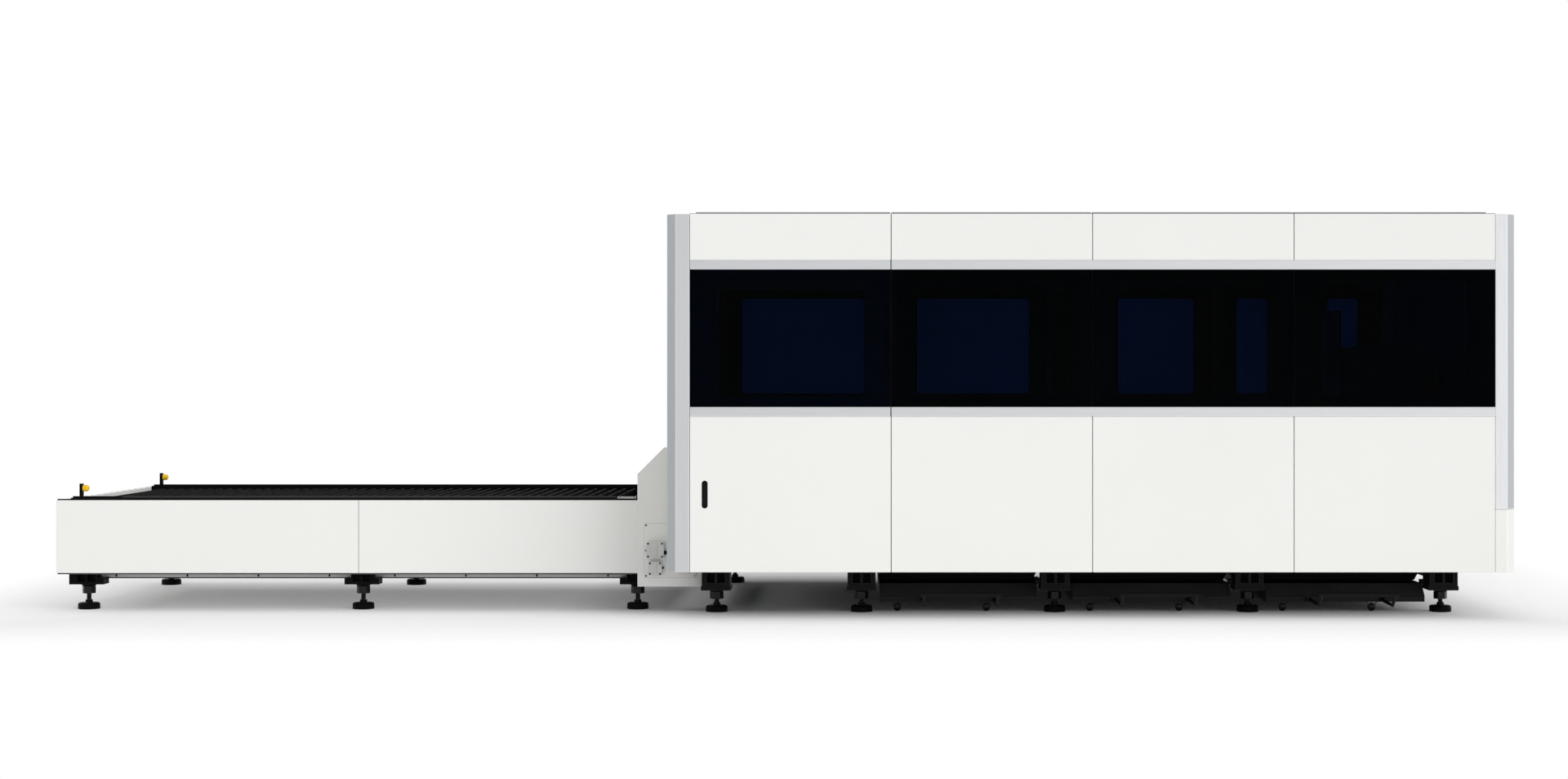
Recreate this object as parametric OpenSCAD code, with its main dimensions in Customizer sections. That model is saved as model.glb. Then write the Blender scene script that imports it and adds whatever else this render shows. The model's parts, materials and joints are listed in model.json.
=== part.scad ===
// Enclosed sheet-cutting machine with a two-level shuttle table.
// Frame: +Z up, X along the machine (table at -X, cabin at +X), origin on the floor
// under the middle of the bounding box. Units are millimetres.

/* [Cabin] */
// Width of one wall bay, seam to seam
bay_w = 1080; // [900:10:1250]
// Outer width of the cabin across the machine
cabin_w = 2980; // [2900:10:3200]
// Height of the wall's lower edge
wall_z0 = 256; // [240:1:300]
// Height of the wall's upper edge
wall_z1 = 2178; // [2000:1:2400]
// Bottom of the window band, with its lower trim
band_z0 = 1092; // [1000:1:1150]
// Top of the window band, with its upper trim
band_z1 = 1930; // [1800:1:1960]
// Height of each silver trim
trim_h = 50; // [30:1:70]
// Front face of the entry corner post
entry_post_w = 75; // [60:1:100]
// Front face of the rear corner post
rear_post_w = 63; // [50:1:90]
// Chamfer on the corner posts
post_chamfer = 50; // [30:1:60]
// Thickness of the fixed wall panels
wall_t = 46; // [46:1:50]
// Gap at the panel seams
seam = 4; // [3.5:0.1:6]
// Height of the silver part of the rear post above the floor
skirt_z1 = 593; // [400:1:800]

/* [Windows] */
// Dark strip on each side of the cut-out behind the glass
window_side = 139; // [100:1:200]
// Height of the cut-out behind the glass
window_h = 620; // [500:1:640]
// Corner radius of the cut-out
window_r = 22; // [10:1:60]

/* [Side door] */
// Thickness of the door leaf
leaf_t = 26; // [20:1:28]
// Pivot distance from the hinge edge
pivot_in = 25; // [20:1:30]
// Pivot distance behind the front face
pivot_back = 12; // [12:0.5:13]
// Length of the recessed pull
pull_h = 147; // [100:1:200]
// Width of the recessed pull
pull_w = 30; // [24:1:50]

/* [Bed] */
// Distance between near and far levelling feet
bed_feet_y = 1980; // [1900:10:2000]
// Width of a bay less the pitch of the bed feet
pitch_less = 7; // [0:1:20]
// Entry end of the cabin to the first bed foot
bed_first = 241; // [200:1:260]
// Last bed foot to the rear end of the cabin
bed_last = 292; // [250:1:350]
// Height of the bed girders' upper face
girder_z1 = 930; // [850:1:980]

/* [Shuttle table] */
// Length of the table that shows outside the cabin
table_l = 3444; // [3400:1:3600]
// Outer width of the table
table_w = 1920; // [1900:1:1924]
// Height of the table's upper face
table_z1 = 617; // [614:1:626]
// Height of the lower edge of the table's panels
table_z0 = 217; // [200:1:223]
// Distance between near and far table feet
table_feet_y = 1646; // [1600:1:1700]
// Distance from table end to its first foot
table_foot_in = 141; // [120:1:200]
// Pitch of the table feet
table_pitch = 1545; // [1400:1:1560]

/* [Pallets] */
// Length of a pallet
pallet_l = 3150; // [3000:10:3180]
// Upper rail height
upper_z = 470; // [465:1:475]
// Lower rail height
lower_z = 300; // [295:1:305]
// Spacing of the slats
slat_pitch = 60; // [50:1:120]
// Spacing of the teeth on a slat
tooth_pitch = 76; // [50:1:120]
// Thickness of a slat
slat_t = 5; // [3:0.5:8]
// Way that a pallet moves from the table to the cabin
pallet_travel = 3820; // [3800:10:3850]

/* [Carts] */
// Way from the side of a scrap cart to the middle of the foot beside it
cart_gap = 98; // [90:1:110]
// Depth of a scrap cart
cart_l = 1800; // [1500:10:1900]
// Upper edge of a scrap cart
cart_z1 = 155; // [140:1:160]
// Length of the pull handle's bar
bar_l = 440; // [400:1:460]

/* [Hidden] */
$fn = 48;
g = 0.3;
bays = 4;
window_w = bay_w - 2 * window_side;
bed_pitch = bay_w - pitch_less;
cart_w = bed_pitch - 2 * cart_gap;
cabin_l = 2 * post_chamfer + entry_post_w + rear_post_w + bays * bay_w;
total_l = table_l + cabin_l;
x0 = -total_l / 2;
cab_x0 = x0 + table_l;
cab_x1 = total_l / 2;
bay_x0 = cab_x0 + post_chamfer + entry_post_w;
bay_x1 = bay_x0 + bays * bay_w;
wy = cabin_w / 2;
inner_y = wy - wall_t;
tube = 60;
glass_z0 = band_z0 + trim_h;
glass_z1 = band_z1 - trim_h;
post_y = wy - 110;
bed_y = bed_feet_y / 2;
table_y = table_feet_y / 2;
foot_last = cab_x1 - bed_last;
bed_x = [
    cab_x0 + bed_first,
    foot_last - 3 * bed_pitch,
    foot_last - 2 * bed_pitch,
    foot_last - bed_pitch,
    foot_last
];
table_x = [for (i = [0:2]) x0 + table_foot_in + i * table_pitch];
cart_x = [for (i = [1:3]) (bed_x[i] + bed_x[i + 1]) / 2];
girder_x0 = bed_x[0] - 83.7;
girder_x1 = cab_x1 - 101;
girder_y0 = bed_y - 130;
girder_y1 = bed_y + 90;
girder_z0 = 290;
rail_y = [-girder_y0 - 140, -girder_y0 - 105];
rack_y = [-girder_y0 - 100, -girder_y0 - 70];
table_x1 = cab_x0 - 18;
cover_y = table_w / 2 + 2;
cover_t = 6;
pallet_x0 = x0 + 31;
slat_top = 141;
rail_top = girder_z1 + 35;
gantry_x = cab_x1 - 500;
beam_z0 = rail_top + 165;
beam_z1 = beam_z0 + 350;
nozzle_z = 770;
cart_front = -1040;
handle_z = 70;
hinge_y = cart_front - 11;
door_x0 = bay_x0 + seam / 2;
door_x1 = bay_x0 + bay_w - seam / 2;
pivot_x = door_x1 - pivot_in;
pivot_y = -wy + pivot_back;
skin_t = 5;
pull_x = bay_x0 + 81;
pull_z = 673;
plate_x = [cab_x0 - 163, cab_x0 + 123];
plate_y = -cover_y - cover_t - g;
beam_y0 = table_w / 2 - 100;
beam_y1 = table_w / 2 - 5;
guard_y = table_w / 2 - 160;
rails_x = [x0 + 41, pallet_x0 + pallet_travel + pallet_l + 50];
sprocket_z = 262;
sprocket_r = 26;
chain_y = 600;
shaft_x = [x0 + 290, table_x1 - 342];
carriage_x = [gantry_x - 290, gantry_x - 180 - g];
stop_x = [x0 + 78, x0 + 98];
bumper_r = 18;
bumper_l = 30;
stub = 60;
foot_plate = 97;
pocket_w = 45;
rib_t = 12;
pad_r = 60.5;
pad_h = 36;
pad_edge = 12;
beam_chamfer = 45;
carriage_chamfer = 25;

// A block between two corners.
module blk(x, y, z) {
    translate([x[0], y[0], z[0]])
        cube([x[1] - x[0], y[1] - y[0], z[1] - z[0]]);
}

// The same piece on the near and the far side.
module both() {
    children();
    mirror([0, 1, 0]) children();
}

// A profile drawn in Y and Z, run along X from x[0] to x[1].
module along_x(x) {
    translate([x[0], 0, 0])
        rotate([90, 0, 90])
            linear_extrude(height = x[1] - x[0]) children();
}

// A profile drawn in X and Z, run along Y from y[0] to y[1].
module along_y(y) {
    translate([0, y[1], 0])
        rotate([90, 0, 0])
            linear_extrude(height = y[1] - y[0]) children();
}

// A straight round bar between two points in one Y-Z plane at x.
module bar_yz(x, a, b, r) {
    d = b - a;
    len = norm(d);
    translate([x, a[0], a[1]])
        rotate([-atan2(d[0], d[1]), 0, 0])
            cylinder(h = len, r = r);
}

// Flat outline with rounded corners, centred.
module round_rect(w, h, r) {
    union() {
        square([w - 2 * r, h], center = true);
        square([w, h - 2 * r], center = true);
        for (sx = [-1, 1])
            for (sy = [-1, 1])
                translate([sx * (w / 2 - r), sy * (h / 2 - r)]) circle(r = r);
    }
}

function bay(i) = bay_x0 + i * bay_w;

module bed_girders() {
    color([0.16, 0.17, 0.18])
        both()
            blk([girder_x0, girder_x1], [-girder_y1, -girder_y0], [girder_z0, girder_z1]);
}

module bed_crossbeams() {
    color([0.16, 0.17, 0.18])
        for (x = bed_x)
            blk([x - 50, x + 50], [-bed_y + 85 + g, bed_y - 85 - g], [180, lower_z - 15 - g]);
}

module gantry_rails() {
    color([0.6, 0.61, 0.63])
        both()
            blk([girder_x0 + 40, girder_x1 - 20], rail_y, [girder_z1 + g, rail_top]);
}

// Rack with straight teeth along one edge.
module rack(x, y, z) {
    pitch = 40;
    n = floor((x[1] - x[0]) / pitch);
    union() {
        blk(x, [y[0], y[1] - 8], z);
        for (i = [0:n - 1])
            blk([x[0] + i * pitch + 8, x[0] + i * pitch + 26], [y[1] - 8.01, y[1]], z);
    }
}

module gantry_racks() {
    color([0.42, 0.43, 0.45])
        both()
            rack([girder_x0 + 40, girder_x1 - 20], rack_y, [girder_z1 + g, rail_top - 5]);
}

module pallet_rails() {
    color([0.2, 0.21, 0.22])
        both()
            for (z = [upper_z, lower_z])
                blk(rails_x, [-girder_y0 + g, -752], [z - 15, z]);
}

// Hopper of four plates that leads scrap into a cart.
module chute(c) {
    half = bed_pitch / 2 - 50.5;
    top = lower_z - 16;
    foot = cart_z1 + 10;
    low = half - 65;
    for (s = [-1, 1])
        translate([c, 0, 0])
            along_y([-girder_y0 + 1, 780])
                polygon([
                    [s * half, top], [s * (half - 8), top],
                    [s * (low - 8), foot], [s * low, foot]
                ]);
    for (y = [-girder_y0 + 2, 773])
        translate([c, 0, 0])
            along_y([y, y + 6])
                polygon([
                    [-half + 8.6, top], [half - 8.6, top],
                    [low - 8.6, foot], [-low + 8.6, foot]
                ]);
}

module scrap_chutes() {
    color([0.12, 0.12, 0.13])
        for (c = cart_x) chute(c);
}

// Box stub with two pockets and a rib in front, on a flange plate.
module bed_bracket() {
    difference() {
        union() {
            blk([-83, 83], [-85, 85], [123, 148]);
            blk([-78, 78], [-85, 85], [147.9, girder_z0 - g]);
            translate([0, 0, 112]) cylinder(h = 11.1, r1 = 34, r2 = 48);
        }
        for (x = [-rib_t / 2 - pocket_w, rib_t / 2])
            blk([x, x + pocket_w], [-86, -25], [166, 233]);
        translate([0, 0, 100]) cylinder(h = 60, r = 12.4);
    }
}

module bed_foot_brackets() {
    color([0.07, 0.07, 0.08])
        both()
            for (x = bed_x)
                translate([x, -bed_y, 0]) bed_bracket();
}

module lock_nut(z) {
    difference() {
        translate([0, 0, z]) cylinder(h = 40, d = 76, $fn = 6);
        translate([0, 0, z - 1]) cylinder(h = 42, r = 12.3);
    }
}

// Round pad with a rounded upper edge, its neck and the stud.
module foot(top) {
    union() {
        rotate_extrude()
            union() {
                square([pad_r - pad_edge, pad_h]);
                square([pad_r, pad_h - pad_edge]);
                translate([pad_r - pad_edge, pad_h - pad_edge]) circle(r = pad_edge);
            }
        translate([0, 0, pad_h - 0.1]) cylinder(h = 16.1, r = 20);
        translate([0, 0, 51.9]) cylinder(h = top - 51.9, r = 12);
    }
}

module levelling_feet() {
    color([0.05, 0.05, 0.06])
        both() {
            for (x = bed_x)
                translate([x, -bed_y, 0]) {
                    foot(156);
                    lock_nut(71.7);
                }
            for (x = table_x)
                translate([x, -table_y, 0]) {
                    foot(168);
                    lock_nut(87.7);
                }
        }
}

// Uprights, roof beams and outriggers behind the seams.
module cabin_bows() {
    color([0.33, 0.34, 0.36])
        for (i = [1:bays - 1]) {
            both() {
                blk([bay(i) - 30, bay(i) + 30], [-inner_y, -inner_y + tube],
                    [wall_z0 + 66 + g, wall_z1 - tube - g]);
                blk([bay(i) - 30, bay(i) + 30], [-inner_y + tube + g, -girder_y1 - g],
                    [wall_z0 + 6, wall_z0 + 66]);
            }
            blk([bay(i) - 30, bay(i) + 30], [-inner_y + tube + g, inner_y - tube - g],
                [wall_z1 - tube, wall_z1]);
        }
}

// Long tubes along the walls, and short ones behind the trims.
module cabin_rails() {
    color([0.36, 0.37, 0.39])
        both() {
            for (z = [wall_z0 + 6, wall_z1 - tube])
                blk([bay_x0 + g, bay_x1 - g], [-inner_y, -inner_y + tube], [z, z + tube]);
            for (i = [1:bays - 1])
                for (z = [band_z0 - 5, glass_z1 - 5])
                    blk([bay(i) + 30 + g, i < bays - 1 ? bay(i + 1) - 30 - g : bay_x1 - g],
                        [-inner_y, -inner_y + tube], [z, z + tube]);
        }
}

module roof_panels() {
    color([0.8, 0.81, 0.82])
        for (i = [0:bays - 1])
            union() {
                blk([bay(i) + 1, bay(i + 1) - 1], [-wy + 2, wy - 2], [wall_z1 + g, wall_z1 + 3]);
                blk([bay(i) + (i == 0 ? 30 : 4), bay(i + 1) - (i == bays - 1 ? 37 : 4)],
                    [-wy + 60, wy - 60], [wall_z1 + 2.9, wall_z1 + 13]);
                if (i == 0)
                    blk([cab_x0 + 1, bay(0) + 1.1], [-post_y, post_y], [wall_z1 + g, wall_z1 + 3]);
                if (i == bays - 1)
                    blk([bay_x1 - 1.1, cab_x1 - 1], [-post_y, post_y], [wall_z1 + g, wall_z1 + 3]);
            }
}

module upper_panels() {
    color([0.93, 0.93, 0.92])
        for (i = [0:bays - 1]) {
            if (i > 0)
                blk([bay(i) + seam / 2, bay(i + 1) - seam / 2], [-wy, -inner_y - g],
                    [band_z1 + g, wall_z1]);
            blk([bay(i) + seam / 2, bay(i + 1) - seam / 2], [inner_y + g, wy],
                [band_z1 + g, wall_z1]);
        }
}

// Cross-section of a corner post, with the chamfer to the outside.
module post_profile(w) {
    polygon([
        [0, -wy], [-w, -wy], [-w - post_chamfer, -wy + post_chamfer],
        [-w - post_chamfer, -post_y], [0, -post_y]
    ]);
}

module rear_post(z) {
    translate([bay_x1, 0, z[0]])
        mirror([1, 0, 0])
            linear_extrude(height = z[1] - z[0]) post_profile(rear_post_w);
}

module lower_panels() {
    color([0.93, 0.93, 0.92]) {
        for (i = [0:bays - 1]) {
            if (i > 0)
                blk([bay(i) + seam / 2, bay(i + 1) - seam / 2], [-wy, -inner_y - g],
                    [wall_z0, band_z0 - g]);
            blk([bay(i) + seam / 2, bay(i + 1) - seam / 2], [inner_y + g, wy],
                [wall_z0, band_z0 - g]);
        }
        both() rear_post([wall_z0, skirt_z1 - 1]);
    }
}

module glass_pane(x, y) {
    blk(x, y, [glass_z0 + g, glass_z1 - g]);
}

module window_glass() {
    color([0.02, 0.03, 0.05])
        for (i = [0:bays - 1]) {
            if (i > 0)
                glass_pane([bay(i) + 1, bay(i + 1) - 1], [-wy + 2, -wy + 10]);
            glass_pane([bay(i) + 1, bay(i + 1) - 1], [wy - 10, wy - 2]);
        }
}

// Sheet behind the glass with one rounded window.
module liner(x, y) {
    along_y(y)
        difference() {
            translate([x[0], glass_z0 + g])
                square([x[1] - x[0], glass_z1 - glass_z0 - 2 * g]);
            translate([(x[0] + x[1]) / 2, (glass_z0 + glass_z1) / 2])
                round_rect(window_w, window_h, window_r);
        }
}

module window_liners() {
    color([0.1, 0.1, 0.11])
        for (i = [0:bays - 1]) {
            if (i > 0)
                liner([bay(i) + 1, bay(i + 1) - 1], [-wy + 10 + g, -inner_y - g]);
            liner([bay(i) + 1, bay(i + 1) - 1], [inner_y + g, wy - 10 - g]);
        }
}

// Extruded trim with two thin raised edges.
module trim_bar(x, back) {
    for (z = [band_z0, glass_z1])
        along_x(x)
            polygon([
                [back, z], [-wy - 3, z], [-wy - 3, z + 4], [-wy, z + 6],
                [-wy, z + trim_h - 6], [-wy - 3, z + trim_h - 4],
                [-wy - 3, z + trim_h], [back, z + trim_h]
            ]);
}

module window_trims() {
    color([0.8, 0.81, 0.82]) {
        trim_bar([bay(1) + seam / 2, bay_x1 - g], -inner_y - g);
        mirror([0, 1, 0]) trim_bar([bay_x0 + g, bay_x1 - g], -inner_y - g);
    }
}

module corner_posts() {
    color([0.76, 0.77, 0.77])
        both() {
            translate([bay_x0, 0, wall_z0])
                linear_extrude(height = wall_z1 - wall_z0) post_profile(entry_post_w);
            rear_post([skirt_z1, wall_z1]);
        }
}

// End wall over and beside the pallet opening.
module entry_wall() {
    color([0.9, 0.9, 0.89]) {
        both()
            blk([cab_x0, cab_x0 + 30], [-post_y + g, -1010], [wall_z0, wall_z1]);
        blk([cab_x0, cab_x0 + 30], [-1010 + g, 1010 - g], [915, wall_z1]);
    }
}

module rear_wall() {
    color([0.9, 0.9, 0.89])
        blk([cab_x1 - 30, cab_x1], [-post_y + g, post_y - g], [wall_z0, wall_z1]);
}

// Bracket with a pivot pin, rounded at the pin so that the door's skin passes it.
module pivot_bracket(z, pin_z) {
    nose_r = pivot_back - skin_t - 0.7;
    union() {
        translate([pivot_x, pivot_y, z])
            linear_extrude(height = 10)
                union() {
                    circle(r = nose_r);
                    translate([-24, -5]) square([24, wall_t - pivot_back - g + 5]);
                }
        translate([pivot_x, pivot_y, pin_z]) cylinder(h = 24, r = 5);
    }
}

module door_pivots() {
    color([0.55, 0.56, 0.58]) {
        pivot_bracket(wall_z1 - 14, wall_z1 - 34);
        pivot_bracket(wall_z0 + 8, wall_z0 + 14);
    }
}

// Inner frame of the door: four bars and two rails behind the trims.
module door_frame() {
    y = [-wy + skin_t + g, -wy + leaf_t];
    z0 = wall_z0 + 22;
    z1 = wall_z1 - 18;
    color([0.3, 0.31, 0.33])
        difference() {
            blk([door_x0 + 3, door_x1 - 1], y, [z0, z1]);
            translate([door_x0 + bay_w / 2 - seam / 2, 0, 0])
                along_y([-wy, -wy + 40])
                    translate([0, (glass_z0 + glass_z1) / 2])
                        round_rect(window_w, window_h, window_r);
            blk([door_x0 + 60, door_x1 - 60], [-wy + 9, -wy + 40], [z0 + 50, band_z0 - 20]);
            blk([door_x0 + 60, door_x1 - 60], [-wy + 9, -wy + 40], [band_z1 + 20, z1 - 50]);
            blk([door_x0 - 1, door_x1 + 1], [-wy, -wy + 10 + g], [glass_z0, glass_z1]);
            translate([pull_x, 0, pull_z])
                along_y([-wy, -wy + 40]) round_rect(pull_w + 10, pull_h + 10, 18);
            translate([pivot_x, pivot_y, z0 - 1]) cylinder(h = 20, r = 5.2);
            translate([pivot_x, pivot_y, z1 - 19]) cylinder(h = 20, r = 5.2);
        }
}

module door_panels() {
    color([0.93, 0.93, 0.92]) {
        blk([door_x0, door_x1], [-wy, -wy + skin_t], [band_z1 + g, wall_z1]);
        difference() {
            blk([door_x0, door_x1], [-wy, -wy + skin_t], [wall_z0, band_z0 - g]);
            translate([pull_x, 0, pull_z])
                along_y([-wy - 1, -wy + 40]) round_rect(pull_w + 1, pull_h + 1, 15);
        }
    }
}

module door_glass() {
    color([0.02, 0.03, 0.05])
        glass_pane([door_x0, door_x1], [-wy + 2, -wy + 10]);
}

module door_trims() {
    color([0.8, 0.81, 0.82])
        trim_bar([door_x0, door_x1 - 1.5], -wy + skin_t);
}

// Recessed shell pull: a flat cup with a rim.
module door_pull() {
    color([0.03, 0.03, 0.03])
        difference() {
            translate([pull_x, 0, pull_z])
                union() {
                    along_y([-wy - 1, -wy + 20]) round_rect(pull_w, pull_h, 14);
                    along_y([-wy + skin_t + g, -wy + 8]) round_rect(pull_w + 8, pull_h + 8, 17);
                }
            translate([pull_x, 0, pull_z])
                along_y([-wy - 2, -wy + 18]) round_rect(pull_w - 6, pull_h - 6, 11);
        }
}

module side_covers() {
    color([0.88, 0.88, 0.87])
        both()
            along_y([-cover_y - cover_t, -cover_y])
                polygon([
                    [cab_x0 - 202, 136], [girder_x0 - g, 136], [girder_x0 - g, 912],
                    [cab_x0 - 53, 912], [cab_x0 - 202, 763]
                ]);
}

module access_plate() {
    color([0.9, 0.9, 0.89])
        difference() {
            blk(plate_x, [plate_y - 3, plate_y], [187, 487]);
            for (x = [plate_x[0] + 9, plate_x[1] - 9])
                for (z = [196, 337, 478])
                    translate([x, plate_y + 1, z])
                        rotate([90, 0, 0]) cylinder(h = 8, r = 3.2);
        }
}

// Cast box with rounded corners and a raised lid strip.
module junction_box(x, z, w, h, deep) {
    y = plate_y - 3 - g;
    union() {
        translate([x + w / 2, 0, z + h / 2])
            along_y([y - deep, y]) round_rect(w, h, 8);
        blk([x + w * 0.32, x + w * 0.6], [y - deep - 2, y - deep + 0.1], [z + 6, z + h - 6]);
    }
}

module junction_boxes() {
    color([0.62, 0.63, 0.64]) {
        junction_box(cab_x0 - 149, 296, 97, 92, 42);
        junction_box(cab_x0 - 139, 200, 76, 78, 34);
    }
}

module cable_glands() {
    color([0.04, 0.04, 0.05]) {
        translate([cab_x0 - 52 + g, plate_y - 24, 327])
            rotate([0, 90, 0])
                union() {
                    cylinder(h = 9, d = 26, $fn = 6);
                    translate([0, 0, 8.9]) cylinder(h = 14, r = 9);
                }
        translate([cab_x0 - 63 + g, plate_y - 20, 242])
            rotate([0, 90, 0])
                union() {
                    cylinder(h = 5, d = 14, $fn = 6);
                    translate([0, 0, 4.9]) cylinder(h = 12, r = 4.5);
                }
    }
}

module table_side_beams() {
    color([0.2, 0.21, 0.22])
        both()
            blk([x0 + 6, table_x1], [-beam_y1, -beam_y0], [table_z0 + 8, table_z1 - 6 - g]);
}

module table_cross_beams() {
    color([0.2, 0.21, 0.22])
        difference() {
            union() {
                for (x = [shaft_x[0], x0 + 1000, x0 + 2400, shaft_x[1]])
                    blk([x - 50, x + 50], [-beam_y1 + 25, beam_y1 - 25], [201, table_z0 + 8 - g]);
                blk([table_x[1] - 50, table_x[1] + 50], [-table_y + 36 + g, table_y - 36 - g],
                    [201, table_z0 + 8 - g]);
                for (x = shaft_x)
                    both()
                        blk([x - 30, x + 30], [-675, -645], [table_z0 + 7, 285]);
            }
            for (x = shaft_x)
                translate([x, 700, sprocket_z])
                    rotate([90, 0, 0]) cylinder(h = 1400, r = 12.06);
        }
}

// Side sheets with a folded top flange, and the end sheet.
module table_panels() {
    split = table_x[1];
    y1 = table_w / 2;
    color([0.92, 0.92, 0.91]) {
        both()
            for (x = [[x0 + 5 + g, split - 1.5], [split + 1.5, table_x1]])
                along_x(x)
                    polygon([
                        [-y1, table_z0], [-beam_y1 - g, table_z0],
                        [-beam_y1 - g, table_z1 - 6], [-guard_y, table_z1 - 6],
                        [-guard_y, table_z1], [-y1, table_z1]
                    ]);
        along_y([-y1, y1])
            polygon([
                [x0, table_z0], [x0 + 5, table_z0], [x0 + 5, table_z1], [x0, table_z1]
            ]);
        blk([x0 + 5 + g, x0 + 29], [-guard_y + g, guard_y - g], [table_z1 - 40, table_z1]);
    }
}

module guard_rails() {
    color([0.05, 0.05, 0.06])
        both()
            union() {
                blk([x0 + 29 + g, table_x1], [-guard_y + g, -guard_y + 28], [594, 623]);
                blk([x0 + 41, table_x1], [-guard_y + g, -guard_y + 16], [622.9, 632]);
            }
}

module drip_tray() {
    color([0.78, 0.79, 0.79])
        difference() {
            blk([x0 + 70, table_x1 - 40], [-755, 755], [176, 200.7]);
            blk([x0 + 73, table_x1 - 43], [-752, 752], [179, 202]);
        }
}

module end_stop_posts() {
    color([0.06, 0.06, 0.07])
        both()
            blk(stop_x, [-guard_y + g, -guard_y + 20], [632 + g, 703]);
}

module bumpers() {
    color([0.93, 0.74, 0.08])
        both()
            translate([stop_x[1] + g, -guard_y + 10, 677])
                rotate([0, 90, 0])
                    union() {
                        cylinder(h = bumper_l - 8, r = bumper_r);
                        translate([0, 0, bumper_l - 8.1])
                            cylinder(h = 8.1, r1 = bumper_r, r2 = bumper_r - 5);
                    }
}

// Flange plate and stub with two pockets and a rib in front, and a seat under the side beam.
module table_bracket(left) {
    difference() {
        union() {
            blk([-foot_plate, foot_plate], [-50, 50], [140, 176 - g]);
            blk([-left, stub], [-50, 36], [140, table_z0 + 8 - g]);
            blk([-stub, stub], [-85, 36], [table_z0 - 1, table_z0 + 8 - g]);
            translate([0, 0, 128]) cylinder(h = 12.1, r1 = 34, r2 = 45);
        }
        for (x = [-rib_t / 2 - pocket_w, rib_t / 2])
            blk([x, x + pocket_w], [-51, -16], [156, table_z0 - 9]);
        translate([0, 0, 120]) cylinder(h = 52, r = 12.4);
    }
}

module table_foot_brackets() {
    color([0.07, 0.07, 0.08])
        both()
            for (i = [0:2])
                translate([table_x[i], -table_y, 0]) table_bracket(i == 0 ? foot_plate : stub);
}

// Gear motor under the lower pallet, on the drip tray.
module drive_motor() {
    color([0.25, 0.33, 0.42])
        difference() {
            union() {
                blk([shaft_x[0] - 35, shaft_x[0] + 35], [-120, -20], [table_z0 + 8, 296]);
                translate([shaft_x[0] + 34.9, -70, sprocket_z])
                    rotate([0, 90, 0]) cylinder(h = 210, r = 34);
            }
            translate([shaft_x[0], 0, sprocket_z])
                rotate([90, 0, 0]) cylinder(h = 200, r = 12.06);
        }
}

module chain_loop(r) {
    union() {
        for (x = shaft_x)
            translate([x, sprocket_z]) circle(r = r);
        translate([shaft_x[0], sprocket_z - r]) square([shaft_x[1] - shaft_x[0], 2 * r]);
    }
}

module drive_chains() {
    color([0.28, 0.27, 0.25])
        both()
            along_y([-chain_y - 6, -chain_y + 6])
                difference() {
                    chain_loop(sprocket_r + 8);
                    chain_loop(sprocket_r + 0.4);
                }
}

module sprocket_shaft(x) {
    translate([x, 0, sprocket_z])
        rotate([90, 0, 0])
            union() {
                translate([0, 0, -690]) cylinder(h = 1380, r = 12);
                for (s = [-1, 1])
                    translate([0, 0, s * chain_y - 5]) cylinder(h = 10, r = sprocket_r);
            }
}

module drive_shaft() {
    color([0.5, 0.51, 0.53]) sprocket_shaft(shaft_x[0]);
}

module idler_shaft() {
    color([0.5, 0.51, 0.53]) sprocket_shaft(shaft_x[1]);
}

// Beam with its back edges chamfered and two rails in front.
module gantry_beam() {
    color([0.75, 0.76, 0.77])
        union() {
            along_y([-1075, 1075])
                polygon([
                    [gantry_x - 155, beam_z0 + g], [gantry_x + 155 - beam_chamfer, beam_z0 + g],
                    [gantry_x + 155, beam_z0 + beam_chamfer], [gantry_x + 155, beam_z1 - beam_chamfer],
                    [gantry_x + 155 - beam_chamfer, beam_z1], [gantry_x - 155, beam_z1]
                ]);
            for (z = [beam_z0 + 60, beam_z1 - 90])
                blk([gantry_x - 180, gantry_x - 154.9], [-960, 960], [z, z + 28]);
        }
}

// End trucks: two runners on the rail with a gap between, and a sloped front.
module gantry_trucks() {
    color([0.3, 0.31, 0.33])
        both()
            along_y([-1075, -882])
                polygon([
                    [gantry_x - 220, rail_top + g], [gantry_x - 70, rail_top + g],
                    [gantry_x - 70, rail_top + 40], [gantry_x + 70, rail_top + 40],
                    [gantry_x + 70, rail_top + g], [gantry_x + 220, rail_top + g],
                    [gantry_x + 220, beam_z0], [gantry_x - 165, beam_z0],
                    [gantry_x - 220, beam_z0 - 80]
                ]);
}

// Upright servo motors on the trucks, behind the beam.
module gantry_motors() {
    color([0.08, 0.08, 0.09])
        both()
            translate([gantry_x + 190, -975, beam_z0 + g])
                union() {
                    cylinder(h = 90, r = 32);
                    translate([0, 0, 89.9]) cylinder(h = 150, r = 28);
                }
}

// Carriage housing with chamfered front corners.
module carriage() {
    front = carriage_x[0];
    c = carriage_chamfer;
    color([0.85, 0.86, 0.86])
        translate([0, 0, beam_z0 + 10])
            linear_extrude(height = beam_z1 + 220 - beam_z0 - 10)
                polygon([
                    [front, -170 + c], [front + c, -170], [carriage_x[1], -170],
                    [carriage_x[1], 170], [front + c, 170], [front, 170 - c]
                ]);
}

// Hose guide that stands on the carriage and reaches back over the beam.
module hose_arch() {
    r1 = 150;
    r0 = 110;
    cx = carriage_x[0] + r1 + 8;
    top = beam_z1 + 220;
    color([0.03, 0.03, 0.03])
        along_y([-45, 45])
            difference() {
                union() {
                    translate([cx, top + 20]) circle(r = r1);
                    translate([cx + r0, top - 150]) square([r1 - r0, 170]);
                    translate([cx - r1, top + g]) square([r1 - r0, 20]);
                }
                translate([cx, top + 20]) circle(r = r0);
                translate([cx - r0, top - 200]) square([2 * r0, 220]);
                translate([cx - r1 - 1, top - 200]) square([r1 - r0 + 2, 200 + g]);
            }
}

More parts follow.
